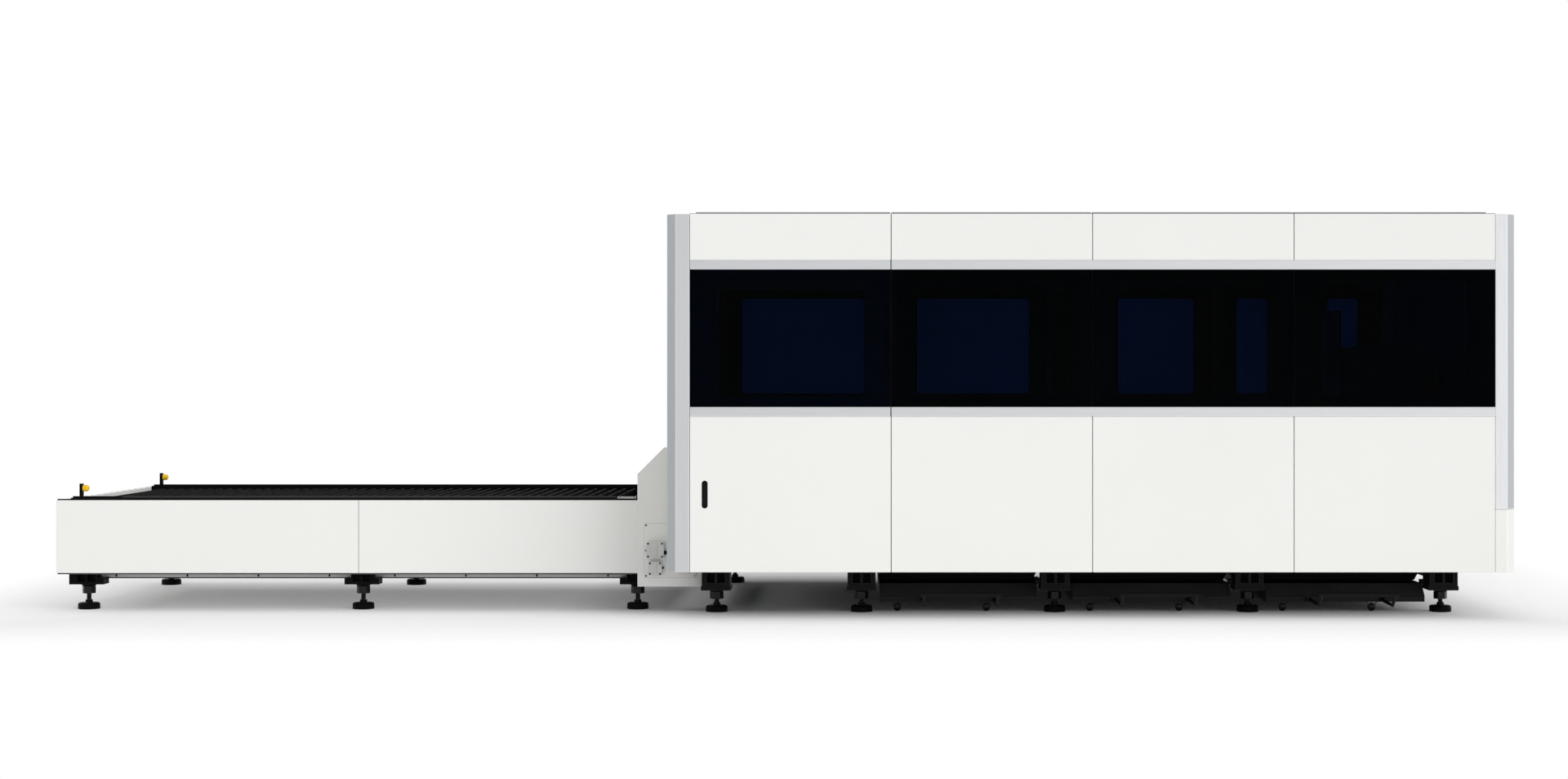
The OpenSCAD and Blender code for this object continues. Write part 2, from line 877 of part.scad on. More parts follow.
// Slide, head body, protective cone and nozzle.
module cutting_head() {
    x = carriage_x[0];
    color([0.7, 0.71, 0.72])
        union() {
            blk([x - 24, x - g], [-70, 70], [beam_z0 + 60, beam_z1 + 60]);
            blk([x - 110, x - 23.9], [-50, 50], [nozzle_z + 180, beam_z1 - 10]);
            translate([x - 66, 0, nozzle_z + 60]) cylinder(h = 121, r = 42);
            translate([x - 66, 0, nozzle_z + 20]) cylinder(h = 40.1, r1 = 16, r2 = 40);
            translate([x - 66, 0, nozzle_z]) cylinder(h = 20.1, r1 = 4, r2 = 12);
        }
}

// Side channels, end beams, stringers and track wheels of a pallet.
module pallet_frame(x, z) {
    for (s = [-1, 1]) {
        blk([x, x + pallet_l], [s * 725 - 25, s * 725 + 25], [z + 20, z + 125]);
        blk([x + 50 + g, x + pallet_l - 50 - g], [s * 250 - 20, s * 250 + 20], [z + 2, z + 40 - g]);
    }
    for (e = [x, x + pallet_l - 50])
        blk([e, e + 50], [-700 + g, 700 - g], [z + 20, z + 122]);
    for (s = [-1, 1])
        for (i = [0:4])
            translate([x + 110 + i * (pallet_l - 220) / 4, s * 750.3, z + 30])
                rotate([-s * 90, 0, 0])
                    cylinder(h = 22, r = 29.8);
}

// Sawtooth slats across the pallet.
module pallet_slats(x, z) {
    half = 700 - g;
    n = floor((pallet_l - 130) / slat_pitch);
    start = (pallet_l - (n - 1) * slat_pitch) / 2;
    teeth = floor(2 * half / tooth_pitch);
    edge = (2 * half - teeth * tooth_pitch) / 2;
    for (i = [0:n - 1])
        along_x([x + start + i * slat_pitch - slat_t / 2, x + start + i * slat_pitch + slat_t / 2])
            polygon(concat(
                [[half, z + 40], [-half, z + 40], [-half, z + slat_top - 24]],
                [for (k = [0:teeth - 1]) for (e = [0, 1])
                    [-half + edge + (k + e * 0.5) * tooth_pitch, z + slat_top - 24 + e * 24]],
                [[half - edge, z + slat_top - 24], [half, z + slat_top - 24]]
            ));
}

module upper_pallet_frame() {
    color([0.06, 0.06, 0.07]) pallet_frame(pallet_x0, upper_z);
}

module upper_pallet_slats() {
    color([0.1, 0.1, 0.1]) pallet_slats(pallet_x0, upper_z);
}

module lower_pallet_frame() {
    color([0.06, 0.06, 0.07]) pallet_frame(pallet_x0 + pallet_travel, lower_z);
}

module lower_pallet_slats() {
    color([0.1, 0.1, 0.1]) pallet_slats(pallet_x0 + pallet_travel, lower_z);
}

// Folded scrap tub with handle lugs on its front.
module cart_tub(c) {
    w = cart_w / 2;
    back = cart_front + cart_l;
    t = 4;
    color([0.06, 0.06, 0.07])
        difference() {
            union() {
                difference() {
                    along_x([c - w, c + w])
                        polygon([
                            [cart_front, 58], [back, 58], [back, cart_z1],
                            [cart_front + 75, cart_z1], [cart_front, 92]
                        ]);
                    along_x([c - w + t, c + w - t])
                        polygon([
                            [cart_front + t, 58 + t], [back - t, 58 + t], [back - t, cart_z1 + 1],
                            [cart_front + 75 + t, cart_z1 + 1], [cart_front + t, 92 - t / 2]
                        ]);
                }
                for (s = [-1, 1])
                    blk([c + s * 216 - 6, c + s * 216 + 6], [hinge_y - 12, cart_front + 0.1],
                        [handle_z - 11, handle_z + 12]);
                blk([c + w - t + 0.1, c + bed_pitch / 2 - 78 - g], [cart_front + 78, cart_front + 128],
                    [149, cart_z1 + 20]);
            }
            for (s = [-1, 1])
                translate([c + s * 216 - 7, hinge_y, handle_z])
                    rotate([0, 90, 0]) cylinder(h = 14, r = 5.2);
        }
}

// U handle of round bar with stub pins in the lugs.
module cart_handle(c) {
    r = 9;
    arm = 199;
    elbow = [hinge_y - 275, 64];
    top = [elbow[0] - 85, 131];
    color([0.05, 0.05, 0.06])
        union() {
            for (s = [-1, 1]) {
                translate([c + s * arm, hinge_y, handle_z])
                    rotate([0, s * 90, 0]) cylinder(h = 22, r = 5);
                translate([c + s * arm - 9, hinge_y, handle_z])
                    rotate([0, 90, 0]) cylinder(h = 18, r = 9.5);
                bar_yz(c + s * arm, [hinge_y, handle_z], elbow, r);
                translate([c + s * arm, elbow[0], elbow[1]]) sphere(r = r + 0.6);
                bar_yz(c + s * arm, elbow, top, r);
            }
            translate([c - bar_l / 2, top[0], top[1]])
                rotate([0, 90, 0]) cylinder(h = bar_l, r = r + 1);
        }
}

// Four ball casters: cup, cone and ball.
module casters(c) {
    for (x = [c - cart_w / 2 + 103.5, c + cart_w / 2 - 283.5])
        for (y = [cart_front + 75, cart_front + cart_l - 160])
            translate([x, y, 0])
                union() {
                    translate([0, 0, 21]) sphere(r = 21);
                    translate([0, 0, 24]) cylinder(h = 10, r = 23);
                    translate([0, 0, 33.9]) cylinder(h = 24.1 - g, r1 = 14, r2 = 34);
                }
}

module cart_casters(c) {
    color([0.08, 0.08, 0.09]) casters(c);
}

module cart_1_tub() {
    cart_tub(cart_x[0]);
}

module cart_2_tub() {
    cart_tub(cart_x[1]);
}

module cart_3_tub() {
    cart_tub(cart_x[2]);
}

module cart_1_handle() {
    cart_handle(cart_x[0]);
}

module cart_2_handle() {
    cart_handle(cart_x[1]);
}

module cart_3_handle() {
    cart_handle(cart_x[2]);
}

module cart_1_casters() {
    cart_casters(cart_x[0]);
}

module cart_2_casters() {
    cart_casters(cart_x[1]);
}

module cart_3_casters() {
    cart_casters(cart_x[2]);
}

bed_girders();
bed_crossbeams();
gantry_rails();
gantry_racks();
pallet_rails();
scrap_chutes();
bed_foot_brackets();
levelling_feet();
cabin_bows();
cabin_rails();
roof_panels();
upper_panels();
lower_panels();
window_glass();
window_liners();
window_trims();
corner_posts();
entry_wall();
rear_wall();
door_pivots();
side_covers();
access_plate();
junction_boxes();
cable_glands();
table_side_beams();
table_cross_beams();
table_panels();
guard_rails();
drip_tray();
end_stop_posts();
bumpers();
table_foot_brackets();
drive_motor();
drive_chains();
drive_shaft();
idler_shaft();
door_frame();
door_panels();
door_glass();
door_trims();
door_pull();
gantry_beam();
gantry_trucks();
gantry_motors();
carriage();
hose_arch();
cutting_head();
upper_pallet_frame();
upper_pallet_slats();
lower_pallet_frame();
lower_pallet_slats();
cart_1_tub();
cart_1_handle();
cart_1_casters();
cart_2_tub();
cart_2_handle();
cart_2_casters();
cart_3_tub();
cart_3_handle();
cart_3_casters();
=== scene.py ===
"""Looks of the enclosed sheet-cutting machine: finishes, soft edges, small fittings, studio and camera.

Everything is in metres in the CAD frame: X along the machine, -Y towards the viewer, Z up.
"""

import json
import math

import bmesh
import bpy
from mathutils import Matrix, Vector


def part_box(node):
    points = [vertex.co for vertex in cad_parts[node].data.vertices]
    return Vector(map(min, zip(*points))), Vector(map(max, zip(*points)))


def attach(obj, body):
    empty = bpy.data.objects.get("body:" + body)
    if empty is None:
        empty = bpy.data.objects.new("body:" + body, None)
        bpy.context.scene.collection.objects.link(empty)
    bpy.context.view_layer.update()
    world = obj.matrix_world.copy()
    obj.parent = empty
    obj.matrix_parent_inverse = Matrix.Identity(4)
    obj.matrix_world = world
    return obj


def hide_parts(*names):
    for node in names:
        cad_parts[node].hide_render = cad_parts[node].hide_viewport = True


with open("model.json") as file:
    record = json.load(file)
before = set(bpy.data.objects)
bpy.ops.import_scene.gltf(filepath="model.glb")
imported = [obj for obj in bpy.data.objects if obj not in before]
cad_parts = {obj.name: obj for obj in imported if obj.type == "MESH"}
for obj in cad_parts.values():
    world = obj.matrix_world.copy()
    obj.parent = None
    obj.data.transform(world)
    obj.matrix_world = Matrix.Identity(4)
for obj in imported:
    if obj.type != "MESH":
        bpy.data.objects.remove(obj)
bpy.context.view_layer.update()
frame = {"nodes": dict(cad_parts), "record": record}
nodes = frame["nodes"]
slot_of = {s["node"]: s["material_slot"] for s in frame["record"]["subparts"]}
body_of = {n: b for b, ns in frame["record"]["behaviour"]["bodies"].items() for n in ns}
scene = bpy.context.scene
CARTS = (1, 2, 3)


# Camera: square to the long side, with the optical axis right of and above the picture's middle.

PHOTO_W = 1920
FOCAL_PX = 3000
AXIS_PX = (95, 10)
SENSOR_MM = 36
CAMERA_AT = (0.490, -14.621, 1.280)

camera = bpy.data.objects.new("camera", bpy.data.cameras.new("camera"))
scene.collection.objects.link(camera)
camera.location = CAMERA_AT
camera.rotation_euler = (math.radians(90), 0, 0)
camera.data.sensor_fit = "HORIZONTAL"
camera.data.sensor_width = SENSOR_MM
camera.data.lens = SENSOR_MM * FOCAL_PX / PHOTO_W
camera.data.shift_x = -AXIS_PX[0] / PHOTO_W
camera.data.shift_y = -AXIS_PX[1] / PHOTO_W
camera.data.clip_end = 200
scene.camera = camera
scene.view_settings.view_transform = "Standard"


# Finishes

def linear(rgb):
    """A colour of 0 to 255 as linear RGBA."""
    def one(c):
        c /= 255
        return c / 12.92 if c <= 0.04045 else ((c + 0.055) / 1.055) ** 2.4
    return tuple(one(c) for c in rgb) + (1.0,)


def shade(rgb, k):
    """A colour made k times as bright, within 0 to 255."""
    return tuple(min(255, max(0, c * k)) for c in rgb)


class Nodes:
    """Short calls for a material's node tree."""

    def __init__(self, name):
        self.material = bpy.data.materials.new(name)
        self.material.use_nodes = True
        self.tree = self.material.node_tree
        self.shader = self.tree.nodes["Principled BSDF"]
        self.place = self.add("ShaderNodeTexCoord").outputs["Object"]

    def add(self, kind, **values):
        n = self.tree.nodes.new(kind)
        for k, v in values.items():
            setattr(n, k, v)
        return n

    def link(self, a, b):
        self.tree.links.new(a, b)

    def set(self, **values):
        """Sets the shader's own inputs, with _ for a space in their names."""
        for k, v in values.items():
            self.shader.inputs[k.replace("_", " ")].default_value = v

    def axis(self, name):
        """X, Y or Z of a point of the object."""
        s = self.add("ShaderNodeSeparateXYZ")
        self.link(self.place, s.inputs["Vector"])
        return s.outputs[name]

    def noise(self, scale, detail, stretch=(1, 1, 1), rough=0.5):
        m = self.add("ShaderNodeMapping")
        m.inputs["Scale"].default_value = stretch
        self.link(self.place, m.inputs["Vector"])
        n = self.add("ShaderNodeTexNoise")
        n.inputs["Scale"].default_value = scale
        n.inputs["Detail"].default_value = detail
        n.inputs["Roughness"].default_value = rough
        self.link(m.outputs["Vector"], n.inputs["Vector"])
        return n.outputs["Fac"]

    def span(self, value, to, frm=(0.3, 0.7)):
        """Maps a value from one range to another; a noise lies mostly in the default range."""
        r = self.add("ShaderNodeMapRange")
        self.link(value, r.inputs["Value"])
        r.inputs["From Min"].default_value, r.inputs["From Max"].default_value = frm
        r.inputs["To Min"].default_value, r.inputs["To Max"].default_value = to
        return r.outputs["Result"]

    def math(self, op, a, b):
        m = self.add("ShaderNodeMath", operation=op)
        for i, v in enumerate((a, b)):
            if isinstance(v, (int, float)):
                m.inputs[i].default_value = v
            else:
                self.link(v, m.inputs[i])
        return m.outputs["Value"]

    def mix(self, fac, a, b):
        m = self.add("ShaderNodeMix", data_type="RGBA")
        for socket, v in ((m.inputs[0], fac), (m.inputs[6], a), (m.inputs[7], b)):
            if isinstance(v, tuple):
                socket.default_value = v
            else:
                self.link(v, socket)
        return m.outputs[2]

    def bump(self, height, distance):
        b = self.add("ShaderNodeBump")
        b.inputs["Strength"].default_value = 1.0
        b.inputs["Distance"].default_value = distance
        self.link(height, b.inputs["Height"])
        self.link(b.outputs["Normal"], self.shader.inputs["Normal"])


def coat(name, rgb, spread, rough, rough_spread, grain, cloud, relief,
         metallic=0.0, stretch=(1, 1, 1), specular=0.5, mottle=None):
    """Paint, plastic or bare metal: broad clouds, fine grain, uneven gloss and a fine relief.

    spread and rough_spread are how far the colour and the roughness vary, grain and cloud are noise scales per
    metre, relief is in metres, and mottle is the colour, noise scale and amount of stains.
    """
    m = Nodes(name)
    m.set(Metallic=metallic, Specular_IOR_Level=specular)
    broad = m.noise(cloud, 3)
    fine = m.noise(grain, 3, stretch)
    both = m.math("ADD", m.math("MULTIPLY", broad, 0.6), m.math("MULTIPLY", fine, 0.4))
    colour = m.mix(m.span(both, (0, 1)), linear(shade(rgb, 1 - spread)), linear(shade(rgb, 1 + spread)))
    if mottle:
        spot_rgb, size, amount = mottle
        spots = m.span(m.noise(size, 5, rough=0.65), (0, amount), (0.5, 0.72))
        colour = m.mix(spots, colour, linear(spot_rgb))
    m.link(colour, m.shader.inputs["Base Color"])
    m.link(m.span(both, (rough - rough_spread, rough + rough_spread)), m.shader.inputs["Roughness"])
    m.bump(fine, relief)
    return m.material


def tinted_glass(name, rgb_linear):
    """Dark laser-safe glazing: clear but deeply tinted, with a weak gloss and faint streaks of dust."""
    m = Nodes(name)
    m.set(Transmission_Weight=1.0, IOR=1.07)
    dust = m.span(m.noise(2.2, 4, (1, 1, 0.3)), (0, 1), (0.35, 0.75))
    a = rgb_linear + (1.0,)
    b = tuple(1.25 * c for c in rgb_linear) + (1.0,)
    m.link(m.mix(dust, a, b), m.shader.inputs["Base Color"])
    m.link(m.span(dust, (0.0, 0.03), (0, 1)), m.shader.inputs["Roughness"])
    return m.material


# X range over which the anodised colours change; that change is painted light and shade
CABIN_X = (-0.6, 4.0)


def anodised(name, left, right, stretch, rough=0.4):
    """Silver extrusion, brushed along its length; its colour changes from the table's end to the rear end,
    which is painted light and shade along the machine.
    """
    m = Nodes(name)
    m.set(Metallic=0.3)
    # painted light and shade: the colour goes from left at the table's end to right at the rear end
    tone = m.mix(m.span(m.axis("X"), (0, 1), CABIN_X), linear(left), linear(right))
    brush = m.noise(260, 3, stretch)
    streak = m.span(brush, (0, 0.14))
    m.link(m.mix(streak, tone, linear(shade(left, 0.82))), m.shader.inputs["Base Color"])
    m.link(m.span(brush, (rough - 0.06, rough + 0.06)), m.shader.inputs["Roughness"])
    m.bump(brush, 0.00004)
    return m.material


# coat: name, colour, spread, roughness, its spread, grain, cloud, relief, metallic, stretch
# anodised: name, colour at the table's end, colour at the rear end, stretch, roughness; the change between the
# two end colours is painted light and shade
look = {
    "white_paint": coat("white_powder", (241, 241, 238), 0.008, 0.42, 0.05, 420, 0.9, 0.00006),
    # painted highlight: lighter bevels along the white panels' edges
    "white_edge": coat("white_powder_painted_highlight", (248, 248, 246), 0.006, 0.36, 0.05, 420, 0.9, 0.00004),
    # painted shade: darker chamfers of the white skirt
    "white_chamfer_shade": coat("white_powder_painted_shade", (227, 227, 223), 0.008, 0.42, 0.05, 420, 0.9, 0.00006),
    "silver_trim": anodised("anodised_upright", (200, 202, 203), (233, 234, 236), (1, 1, 0.02)),
    # painted shade: darker chamfers of the corner posts
    "silver_chamfer_shade": anodised("anodised_painted_shade", (190, 194, 198), (180, 184, 187), (1, 1, 0.02)),
    # painted highlight: lighter bevels along the silver trims' edges
    "trim_edge": anodised("anodised_painted_highlight", (224, 226, 228), (240, 241, 243), (1, 1, 1), 0.32),
    "trim_long": anodised("anodised_long", (200, 202, 204), (224, 225, 228), (0.02, 1, 1)),
    "roof_sheet": coat("roof_sheet", (196, 198, 200), 0.03, 0.5, 0.08, 140, 0.8, 0.0001, 0.1),
    # painted shade: darker sides and bevels of the roof sheets
    "roof_edge": coat("roof_edge", (150, 152, 154), 0.04, 0.5, 0.08, 200, 1.2, 0.0001),
    "tray_sheet": coat("tray_sheet", (222, 222, 219), 0.02, 0.5, 0.08, 300, 1.0, 0.0001),
    "black_paint": coat("black_powder", (7, 7, 8), 0.2, 0.5, 0.1, 480, 2.0, 0.00012, specular=0.07),
    # worn edges and a painted highlight: lighter bevels on the black parts
    "black_edge": coat("black_powder_worn_and_highlit", (36, 36, 38), 0.2, 0.42, 0.1, 480, 6.0, 0.0001, specular=0.3),
    "cart_paint": coat("cart_powder", (29, 29, 30), 0.14, 0.52, 0.1, 420, 2.4, 0.00015, specular=0.14,
                       mottle=((44, 42, 40), 9, 0.25)),
    # painted shade: darker bevels along the tubs' folds and edges
    "cart_edge": coat("cart_powder_painted_shade", (9, 9, 10), 0.2, 0.45, 0.1, 420, 7.0, 0.0001, specular=0.1),
    # painted light on the upward-facing slopes of the tubs; its mottle is dust
    "cart_slope_painted_light": coat("cart_powder_painted_light", (49, 49, 50), 0.12, 0.55, 0.1, 420, 2.4, 0.00015, specular=0.14,
                       mottle=((70, 68, 66), 9, 0.2)),
    "handle_paint": coat("handle_powder", (13, 13, 14), 0.12, 0.48, 0.08, 420, 4.0, 0.0001, specular=0.1),
    "caster_steel": coat("caster_steel", (7, 7, 8), 0.15, 0.38, 0.1, 500, 9.0, 0.0001, specular=0.2),
    "caster_ring_painted_highlight": coat("caster_ring_painted_highlight", (34, 34, 35), 0.15, 0.38, 0.1, 500, 9.0, 0.0001, specular=0.3),
    "bracket_paint": coat("bracket_powder", (20, 20, 21), 0.15, 0.5, 0.1, 480, 2.0, 0.00012, specular=0.1),
    "nut_paint": coat("blackened_nut", (13, 13, 14), 0.15, 0.4, 0.1, 500, 9.0, 0.0001, specular=0.25),
    # painted highlight on the upper step of the guard rails
    "rail_lip_highlight": coat("rail_lip_painted_highlight", (42, 42, 44), 0.1, 0.45, 0.1, 420, 4.0, 0.0001, specular=0.3),
    # the chutes' own black, and painted shade in the pockets of the bed brackets
    "chute_steel": coat("chute_steel", (5, 5, 6), 0.2, 0.55, 0.1, 300, 3.0, 0.0001, specular=0.08),
    "black_plastic": coat("black_moulded", (8, 8, 9), 0.12, 0.5, 0.08, 900, 3.0, 0.0001, specular=0.2),
    "dark_steel": coat("dark_paint", (70, 72, 75), 0.08, 0.5, 0.1, 300, 1.6, 0.00012),
    # painted highlight: lighter bevels along the dark steel's edges
    "dark_edge": coat("dark_paint_painted_highlight", (100, 102, 105), 0.08, 0.45, 0.1, 300, 4.0, 0.0001),
    "frame_grey": coat("frame_grey", (118, 120, 124), 0.06, 0.5, 0.08, 300, 1.6, 0.00012),
    "bright_steel": coat("ground_steel", (186, 188, 192), 0.06, 0.3, 0.08, 180, 2.0, 0.00004, 0.85,
                         (0.05, 1, 1), mottle=((120, 116, 110), 26, 0.35)),
    "window_glass": tinted_glass("dark_glazing", (0.014, 0.038, 0.084)),
    "liner": coat("window_liner", (10, 11, 13), 0.1, 0.55, 0.08, 500, 2.0, 0.0001),
    "cast_box": coat("cast_grey", (206, 207, 205), 0.04, 0.5, 0.08, 700, 8.0, 0.00025, 0.1),
    # a dark gasket, and painted shade in the gap under the table's side sheets
    "gasket_and_shadow_gap": coat("dark_gasket_and_shadow_gap", (58, 59, 60), 0.1, 0.6, 0.08, 900, 20.0, 0.0001),
    # painted shadow: the seal strip that outlines the access plate
    "plate_shadow_seal": coat("grey_seal_painted_shadow", (212, 212, 209), 0.06, 0.6, 0.08, 900, 20.0, 0.0001),
    "bumper_rubber": coat("yellow_polyurethane", (242, 192, 22), 0.05, 0.46, 0.08, 600, 12.0, 0.0002),
    "slat_steel": coat("scaled_steel", (11, 11, 11), 0.3, 0.55, 0.12, 120, 5.0, 0.0003, 0.1, specular=0.06,
                       mottle=((26, 22, 19), 18, 0.3)),
    "slat_tip": coat("worn_steel", (112, 110, 106), 0.15, 0.45, 0.1, 160, 9.0, 0.0001, 0.4),
    # painted shade on the lower part of each slat
    "slat_painted_shade": coat("steel_painted_shade", (4, 4, 4), 0.3, 0.6, 0.1, 120, 5.0, 0.0003, specular=0.03),
    "motor_paint": coat("motor_blue_grey", (92, 108, 124), 0.05, 0.42, 0.07, 400, 3.0, 0.0001),
    "chain_steel": coat("oiled_chain", (92, 88, 82), 0.2, 0.35, 0.12, 300, 9.0, 0.0001, 0.8),
    "head_metal": coat("satin_head", (196, 198, 200), 0.04, 0.36, 0.08, 300, 4.0, 0.00006, 0.6, (1, 1, 0.1)),
    "carriage_paint": coat("carriage_white", (226, 227, 226), 0.02, 0.42, 0.06, 400, 2.0, 0.00006),
    # zinc, and a painted highlight on the right-hand screws of the access plate
    "zinc_and_highlight": coat("zinc_plated_and_highlight", (188, 189, 186), 0.08, 0.34, 0.1, 900, 30.0, 0.00005, 0.85),
    "screw_black": coat("blackened_screw", (20, 20, 21), 0.15, 0.38, 0.1, 900, 40.0, 0.00006, 0.4),
}


# Pieces with soft edges that stand for the sharp CAD solids

def put(name, mesh, body):
    """Links a finished mesh as a piece on a body."""
    o = bpy.data.objects.new(name, mesh)
    scene.collection.objects.link(o)
    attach(o, body)
    return o


SHARP = math.radians(38)    # edges that shade as edges
HARD = math.radians(32)     # edges that get a bevel
FLAT = math.radians(0.6)    # faces that join into one


def weighted(o):
    """Flat faces keep flat shading next to rounded edges."""
    o.data.shade_smooth()
    o.data.set_sharp_from_angle(angle=SHARP)
    w = o.modifiers.new("flat_faces", "WEIGHTED_NORMAL")
    w.keep_sharp = True
    w.weight = 100


def clean_copy(node):
    """A copy of a CAD node's mesh with its flat faces whole again."""
    bm = bmesh.new()
    bm.from_mesh(nodes[node].data)
    bmesh.ops.remove_doubles(bm, verts=bm.verts, dist=2e-5)
    bmesh.ops.dissolve_limit(bm, angle_limit=FLAT, verts=bm.verts, edges=bm.edges)
    return bm


def soften(node, width, face, edge, lower=0.0):
    """Rounds the hard edges of a node by width metres; the rounded faces take the edge finish, which is a
    painted highlight where it is lighter than the faces and painted shade where it is darker.

    The node's bottom can be drawn down by lower metres first.
    """
    bm = clean_copy(node)
    bottom = min(v.co.z for v in bm.verts)
    for v in bm.verts:
        if v.co.z < bottom + 0.001:
            v.co.z -= lower
    hard = [e for e in bm.edges if len(e.link_faces) == 2 and e.calc_face_angle(0) > HARD]
    bmesh.ops.bevel(bm, geom=hard, offset=width, offset_type="OFFSET", segments=2, profile=0.5,
                    affect="EDGES", clamp_overlap=True, material=1)
    mesh = bpy.data.meshes.new(node + "_edged")
    bm.to_mesh(mesh)
    bm.free()
    mesh.materials.append(look[face])
    mesh.materials.append(look[edge])
    o = put(node + "_edged", mesh, body_of[node])
    weighted(o)
    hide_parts(node)
    return o


def repaint(o, finish, wanted):
    """Gives the wanted flat faces another finish; wanted takes a face's normal and middle."""
    o.data.materials.append(look[finish])
    last = len(o.data.materials) - 1
    for p in o.data.polygons:
        if p.material_index == 0 and wanted(p.normal, p.center):
            p.material_index = last


# Bevel width, finish of the faces, finish of the bevels and how far the bottom is drawn down; a bevel finish
# lighter than the faces is a painted highlight, a darker one painted shade
EDGED = {
    "upper_panels": (0.0025, "white_paint", "white_edge"),
    "lower_panels": (0.0025, "white_paint", "white_edge"),
    "door_panels": (0.0018, "white_paint", "white_edge"),
    "entry_wall": (0.003, "white_paint", "white_edge"),
    "rear_wall": (0.003, "white_paint", "white_edge"),
    "side_covers": (0.0018, "white_paint", "white_edge"),
    "access_plate": (0.0008, "white_paint", "white_edge"),
    "table_panels": (0.0015, "white_paint", "white_edge", 0.006),
    "corner_posts": (0.003, "silver_trim", "trim_edge"),
    "window_trims": (0.0008, "trim_long", "trim_edge"),
    "door_trims": (0.0008, "trim_long", "trim_edge"),
    "roof_panels": (0.0008, "roof_sheet", "roof_edge"),
    "bed_foot_brackets": (0.003, "bracket_paint", "black_edge"),
    "table_foot_brackets": (0.003, "black_paint", "black_edge"),
    "levelling_feet": (0.0015, "black_paint", "black_edge"),
    "guard_rails": (0.0015, "black_paint", "black_paint"),
    "end_stop_posts": (0.0015, "black_paint", "black_edge"),
    "scrap_chutes": (0.001, "chute_steel", "chute_steel"),
    **{f"cart_{i}_tub": (0.0012, "cart_paint", "cart_edge") for i in CARTS},
    "bed_girders": (0.006, "dark_steel", "dark_edge"),
    "bed_crossbeams": (0.004, "dark_steel", "dark_edge"),
    "cabin_bows": (0.004, "frame_grey", "frame_grey"),
    "cabin_rails": (0.004, "frame_grey", "frame_grey"),
    "table_side_beams": (0.005, "dark_steel", "dark_edge"),
    "pallet_rails": (0.0015, "dark_steel", "dark_edge"),
    "drip_tray": (0.0008, "tray_sheet", "tray_sheet"),
    "gantry_beam": (0.006, "dark_steel", "dark_edge"),
    "gantry_trucks": (0.005, "dark_steel", "dark_edge"),
    "gantry_rails": (0.0015, "bright_steel", "bright_steel"),
    "carriage": (0.006, "carriage_paint", "carriage_paint"),
    "cutting_head": (0.002, "head_metal", "head_metal"),
    "upper_pallet_frame": (0.002, "black_paint", "black_paint"),
    "lower_pallet_frame": (0.002, "black_paint", "black_paint"),
}
edged = {name: soften(name, *how) for name, how in EDGED.items()}

# Other finishes on some faces: painted shade on the chamfers, on the sides of the roof sheets and in the
# pockets, a finish for the studs and nuts, and painted light on the sloped fronts
PAD_TOP = 0.053
# painted shade on the corner posts' chamfers
repaint(edged["corner_posts"], "silver_chamfer_shade", lambda n, c: abs(n.x) > 0.5 and abs(n.y) > 0.5)
# painted shade on the sides of the roof sheets
repaint(edged["roof_panels"], "roof_edge", lambda n, c: abs(n.z) < 0.5)
# painted shade on the skirt's chamfers
repaint(edged["lower_panels"], "white_chamfer_shade", lambda n, c: abs(n.x) > 0.5 and abs(n.y) > 0.3)
repaint(edged["levelling_feet"], "nut_paint", lambda n, c: c.z > PAD_TOP)
# painted shade: the pockets of the bed brackets are darker
bracket_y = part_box("bed_foot_brackets")[1].y
repaint(edged["bed_foot_brackets"], "chute_steel",
        lambda n, c: n.y * c.y > 0.9 * abs(c.y) and abs(c.y) < bracket_y - 0.02)
# painted light: the tubs' sloped fronts are lighter
for i in CARTS:
    repaint(edged[f"cart_{i}_tub"], "cart_slope_painted_light", lambda n, c: n.y < -0.3 and n.z > 0.3)


# Small fittings

FRONT = (0, -1, 0)
RIGHT = (1, 0, 0)
SIDES = (-1, 1)


